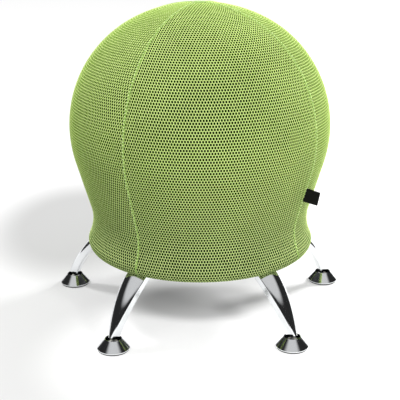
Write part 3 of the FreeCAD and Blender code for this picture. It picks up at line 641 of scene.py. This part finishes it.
# Hem band
# Ribbed green elastic, sewn in gathers round the cover's lower edge. It draws the cover in
# under the ring and holds it behind the tube.
HEM_HIGH = math.radians(-192)
HEM_INSIDE = 0.0143
HEM_THICKNESS = 0.005
HEM_COLUMNS = 8
HEM_GATHERS = 96
ROWS_PER_GATHER = 6
# Shares of the thickness: at the band's borders, more within, by gathers, and of its cloth.
HEM_EDGE = 0.5
HEM_SWELL = 0.38
HEM_RIPPLE = 0.1
HEM_BACKING = 0.4
clear_selection()
bpy.ops.mesh.primitive_grid_add(x_subdivisions=HEM_COLUMNS,
                                y_subdivisions=HEM_GATHERS * ROWS_PER_GATHER, size=1)
hem = bpy.context.object
grid = points_of(hem) + (0.5, 0.5, 0)
gather = np.cos(grid[:, 1] * HEM_GATHERS * 2 * math.pi)
inner = np.clip(np.minimum(grid[:, 0], 1 - grid[:, 0]) * HEM_COLUMNS, 0, 1)
swell = HEM_EDGE + HEM_SWELL * inner + HEM_RIPPLE * gather * inner
level = HEM_INSIDE + HEM_THICKNESS * swell
angle = HEM_ANGLE + (HEM_HIGH - HEM_ANGLE) * grid[:, 0]
reach = RING_RADIUS + level * np.cos(angle)
turn = grid[:, 1] * 2 * math.pi
move_points(hem, np.stack([reach * np.cos(turn), reach * np.sin(turn),
                           RING_HEIGHT + level * np.sin(angle)], axis=1))
bpy.ops.object.mode_set(mode="EDIT")
bpy.ops.mesh.select_all(action="SELECT")
bpy.ops.mesh.remove_doubles(threshold=MERGE_REACH)
bpy.ops.mesh.normals_make_consistent(inside=False)
bpy.ops.object.mode_set(mode="OBJECT")
backing = hem.modifiers.new("thickness", "SOLIDIFY")
backing.thickness = HEM_THICKNESS * HEM_BACKING
backing.offset = -1
bpy.ops.object.modifier_apply(modifier=backing.name)
hem.name = hem.data.name = "hem_band_elastic"
hem.data.shade_smooth()
hem_finish, tree, shader = new_finish("hem_elastic")
weave = place_grain(tree, fine_scale=1500, broad_scale=300)
elastic = blend_colours(tree, weave.outputs["Clouds"], linear(72, 90, 34), linear(104, 126, 52))
finish_surface(tree, shader, elastic, roughness=0.85, relief_map=weave.outputs["Grain"],
               relief=0.0003)
hem.data.materials.append(hem_finish)
fit_to_stool(hem, "hem_elastic", "hem_band")

# Flag label
# A bare loop of black woven ribbon, folded in two. Its ends are caught in the right seam, and
# the rest stands out and curls a little.
FLAG_REACH = 0.028
FLAG_HALF_HEIGHT = 0.0135
FLAG_HEIGHT = 0.263
FLAG_FOLD = 0.00055
FLAG_CLOTH = 0.0005
FLAG_TUCK = 0.002
FLAG_CURL = 0.0022
FLAG_CURL_SHARES = (0.4, 0.5)         # for the whole flag, and from its middle to its corners
FLAG_COLUMNS = 48
FLAG_ROWS = 14
FLAG_SWING = math.radians(10)
FLAG_LIFT = math.radians(4)
clear_selection()
bpy.ops.mesh.primitive_grid_add(x_subdivisions=FLAG_COLUMNS, y_subdivisions=FLAG_ROWS, size=1)
flag = bpy.context.object
grid = points_of(flag)
straight = FLAG_REACH + FLAG_TUCK - FLAG_FOLD
fold = math.pi * FLAG_FOLD
walk = (grid[:, 0] + 0.5) * (2 * straight + fold)
past = np.clip(walk - straight, 0, fold) / FLAG_FOLD
outward = np.where(walk < straight + fold, np.minimum(walk, straight),
                   2 * straight + fold - walk) + FLAG_FOLD * np.sin(past)
sideways = FLAG_FOLD * np.cos(past)
along = grid[:, 1] * 2 * FLAG_HALF_HEIGHT
share = outward / FLAG_REACH
sideways += FLAG_CURL * share ** 2 * (
    FLAG_CURL_SHARES[0] + along / FLAG_HALF_HEIGHT * FLAG_CURL_SHARES[1])
flag_down = np.interp(-FLAG_HEIGHT, -profile_points[:, 1], profile_down)
base_r, base_z, out_r, out_z = profile_at(flag_down)
slope = math.atan2(out_z, out_r) + FLAG_LIFT
reach = (outward - FLAG_TUCK) * math.cos(slope) + along * math.sin(slope)
height = base_z + (outward - FLAG_TUCK) * math.sin(slope) - along * math.cos(slope)
turn = heading(SEAM_AZIMUTHS["right"])
swung = turn + FLAG_SWING
move_points(flag, np.stack([
    base_r * math.cos(turn) + reach * math.cos(swung) - sideways * math.sin(swung),
    base_r * math.sin(turn) + reach * math.sin(swung) + sideways * math.cos(swung), height],
    axis=1))
backing = flag.modifiers.new("thickness", "SOLIDIFY")
backing.thickness = FLAG_CLOTH
backing.offset = 0
bpy.ops.object.modifier_apply(modifier=backing.name)
flag.name = flag.data.name = "flag_label_ribbon"
flag.data.shade_smooth()
ribbon, tree, shader = new_finish("label_ribbon")
ribs = wire(tree, "TexWave", {"Vector": own_place(tree), "Scale": 420, "Distortion": 1.5},
            wave_type="BANDS", bands_direction="Z").outputs["Fac"]
finish_surface(tree, shader, blend_colours(tree, ribs, linear(12, 13, 12), linear(26, 27, 25)),
               roughness=0.8, relief_map=ribs, relief=0.0002)
shader.inputs["Specular IOR Level"].default_value = 0.15
flag.data.materials.append(ribbon)
fit_to_stool(flag, "label_ribbon", "flag_label")

# Legs and bells
# Cast legs and spun steel bells, polished and chromed. The plate is a clean mirror with faint
# polishing haze.
PLACES = ("back", "left", "front_left", "front_right", "right")
chrome = grained_finish("polished_chrome", linear(226, 228, 230), linear(236, 238, 240),
                        roughness=(0.09, 0.14), relief=0.000002, fine_scale=900,
                        broad_scale=12, metallic=1.0)
dress(chrome, *["leg_" + place for place in PLACES])
dress(chrome, *["foot_bell_" + place for place in PLACES])

# Leg bolts
# Oiled black socket-head bolts. One goes up through each leg and the cover, into the nut that
# is welded in the ring.
black_steel = grained_finish("black_oxide", linear(30, 30, 32), linear(46, 46, 48),
                             roughness=(0.3, 0.45), relief=0.00001, fine_scale=2200,
                             broad_scale=120, metallic=0.9)
dress(black_steel, "leg_bolts")

# Glide sockets and pads
# Natural nylon cups snap over the studs' balls and let the bells tilt and turn. Black nylon
# pads close the bells and stand on the floor.
nylon = grained_finish("nylon", linear(206, 204, 194), linear(220, 218, 210),
                       roughness=(0.4, 0.52), relief=0.00002, fine_scale=1900,
                       broad_scale=110)
dress(nylon, *["foot_socket_" + place for place in PLACES])
pad_plastic = grained_finish("glide_pad", linear(40, 41, 44), linear(56, 57, 60),
                             roughness=(0.5, 0.68), relief=0.00005, fine_scale=1700,
                             broad_scale=60)
dress(pad_plastic, *["foot_pad_" + place for place in PLACES])

# Studio
# A white sweep of floor, a bright ceiling and dark walls, which the chrome shows as bands. Four
# softboxes: a small one high in front, a large one to fill from the left, and two for the rims
# from behind. The chrome doesn't show them.
FLOOR_SIZE = 120
# The glow is dimmer near the stool: painted shade round it.
FLOOR_GLOWS = (0.37, 0.80)
GLOW_REACHES = (0.5, 4.0)
# The floor's colour is darker to the left: painted shade on that side.
PAPER_SIDES = (-0.2, 0.5)
PAPER_SHADE_TONES = (0.44, 0.82)
# Painted shade of the stool on the floor's glow, behind it and under it, and a painted pool of
# light
# in front of it: centre after the stretch, stretch, reaches, and shares of the floor's glow at
# those reaches.
FLOOR_PAINTED_SHADE_SPOTS = (((-0.30, 0.27, 0), (1, 0.6, 0), (0.12, 0.26), (0.1, 1)),
               ((0, -0.02, 0), (0.6, 1, 0), (0.06, 0.11), (0.42, 1)),
               ((-0.02, -0.25, 0), (1, 1, 0), (0.16, 0.32), (1.8, 1)))
clear_selection()
bpy.ops.mesh.primitive_plane_add(size=FLOOR_SIZE)
floor = bpy.context.object
floor.name = "studio_floor"
floor_paper, tree, shader = new_finish("floor_paper")
shader.inputs["Roughness"].default_value = 0.9
shader.inputs["Specular IOR Level"].default_value = 0.1

# The floor glows only for the camera and in reflections, and throws no light on the stool. Its
# glow is painted dimmer near the stool as shade, and the spots paint the stool's shade and a pool
# of light.
path = wire(tree, "LightPath")
seen = wire(tree, "Math", {0: path.outputs["Is Camera Ray"], 1: path.outputs["Is Glossy Ray"]},
            operation="MAXIMUM")
seen = wire(tree, "Math", {0: seen.outputs[0], 1: path.outputs["Is Transmission Ray"]},
            operation="MAXIMUM")
floor_place = own_place(tree)
rightward = wire(tree, "SeparateXYZ", {0: floor_place}).outputs["X"]
# painted shade: the floor's colour falls off to the left
feed(tree, shader.inputs["Base Color"], scaled(tree, rightward, PAPER_SIDES, PAPER_SHADE_TONES))
away = wire(tree, "VectorMath", {0: floor_place}, operation="LENGTH").outputs["Value"]
glow = scaled(tree, away, GLOW_REACHES, FLOOR_GLOWS)
# Each spot paints shade, or a pool of light, into the glow.
for centre, stretch, reaches, shares in FLOOR_PAINTED_SHADE_SPOTS:
    spread = wire(tree, "VectorMath", {0: floor_place, 1: stretch}, operation="MULTIPLY")
    off_centre = wire(tree, "VectorMath", {0: spread.outputs[0], 1: centre},
                      operation="DISTANCE").outputs["Value"]
    share = scaled(tree, off_centre, reaches, shares, interpolation_type="SMOOTHSTEP")
    glow = wire(tree, "Math", {0: glow, 1: share}, operation="MULTIPLY").outputs[0]
glow = wire(tree, "Math", {0: seen.outputs[0], 1: glow}, operation="MULTIPLY")
shader.inputs["Emission Color"].default_value = (1, 1, 1, 1)
tree.links.new(glow.outputs[0], shader.inputs["Emission Strength"])
floor.data.materials.append(floor_paper)

# The room's brightness by height above the horizon. The heights lie higher towards the sides.
WALLS = ((0.0, 0.06), (0.10, 0.03), (0.53, 0.03), (0.59, 0.42), (0.66, 0.84), (1.0, 0.88))
SIDE_FALL = -0.2
ROOM_STRENGTH = 0.80
world = bpy.data.worlds.new("studio_room")
bpy.context.scene.world = world
world.use_nodes = True
tree = world.node_tree
background = tree.nodes["Background"]
direction = wire(tree, "TexCoord").outputs["Generated"]
parts = wire(tree, "SeparateXYZ", {0: direction})
aside = wire(tree, "Math", {0: parts.outputs["X"]}, operation="ABSOLUTE")
upward = wire(tree, "Math", {0: aside.outputs[0], 1: SIDE_FALL, 2: parts.outputs["Z"]},
              operation="MULTIPLY_ADD")
ramp = wire(tree, "ValToRGB", {0: upward.outputs[0]})
ramp.color_ramp.elements[0].position = WALLS[0][0]
ramp.color_ramp.elements[1].position = WALLS[-1][0]
for height, brightness in WALLS[1:-1]:
    ramp.color_ramp.elements.new(height)
for element, (height, brightness) in zip(ramp.color_ramp.elements, WALLS):
    element.color = (brightness, brightness, brightness, 1)
tree.links.new(ramp.outputs[0], background.inputs["Color"])
background.inputs["Strength"].default_value = ROOM_STRENGTH

LAMP_AIM = Vector((0, 0, 0.3))
for name, place, size, power in (
        ("key_softbox", (1.18, -1.89, 1.60), (0.4, 0.4), 22),
        ("left_fill", (-1.1, -2.1, 1.4), (2.4, 2.4), 26),
        ("right_rim", (2.2, 1.6, 1.7), (0.6, 0.6), 106),
        ("back_softbox", (-1.6, 0.9, 2.6), (0.5, 0.5), 56)):
    lamp = bpy.data.lights.new(name, "AREA")
    lamp.shape = "RECTANGLE"
    lamp.size, lamp.size_y = size
    lamp.energy = power
    holder = bpy.data.objects.new(name, lamp)
    bpy.context.collection.objects.link(holder)
    holder.location = place
    holder.rotation_euler = (LAMP_AIM - Vector(place)).to_track_quat("-Z", "Y").to_euler()
    holder.visible_glossy = False

# Camera
# A long lens in front of the stool, a little to its left and raised to look down on it. It was
# fitted to the legs' spacing and the ball's outline in the photograph.
CAMERA_PLACE = Vector((0, -1.785, 0.797))
CAMERA_PITCH = math.radians(18.16)
CAMERA_ROLL = math.radians(-0.08)
STOOL_TURN = 0.02268         # radians
CAMERA_LENS = 85.02
SENSOR_WIDTH = 36
CLIP_END = 200
forward = Vector((0, math.cos(CAMERA_PITCH), -math.sin(CAMERA_PITCH)))
right = Vector((1, 0, 0))
up = right.cross(forward)
level_right = right * math.cos(CAMERA_ROLL) + up * math.sin(CAMERA_ROLL)
level_up = -right * math.sin(CAMERA_ROLL) + up * math.cos(CAMERA_ROLL)
camera_data = bpy.data.cameras.new("camera")
camera_data.lens = CAMERA_LENS
camera_data.sensor_width = SENSOR_WIDTH
camera_data.clip_end = CLIP_END
camera = bpy.data.objects.new("camera", camera_data)
bpy.context.collection.objects.link(camera)
axes = Matrix((level_right, level_up, -forward)).transposed().to_4x4()
camera.matrix_world = (Matrix.Rotation(-STOOL_TURN, 4, "Z")
                       @ Matrix.Translation(CAMERA_PLACE) @ axes)
bpy.context.scene.camera = camera
bpy.context.scene.view_settings.view_transform = "Standard"
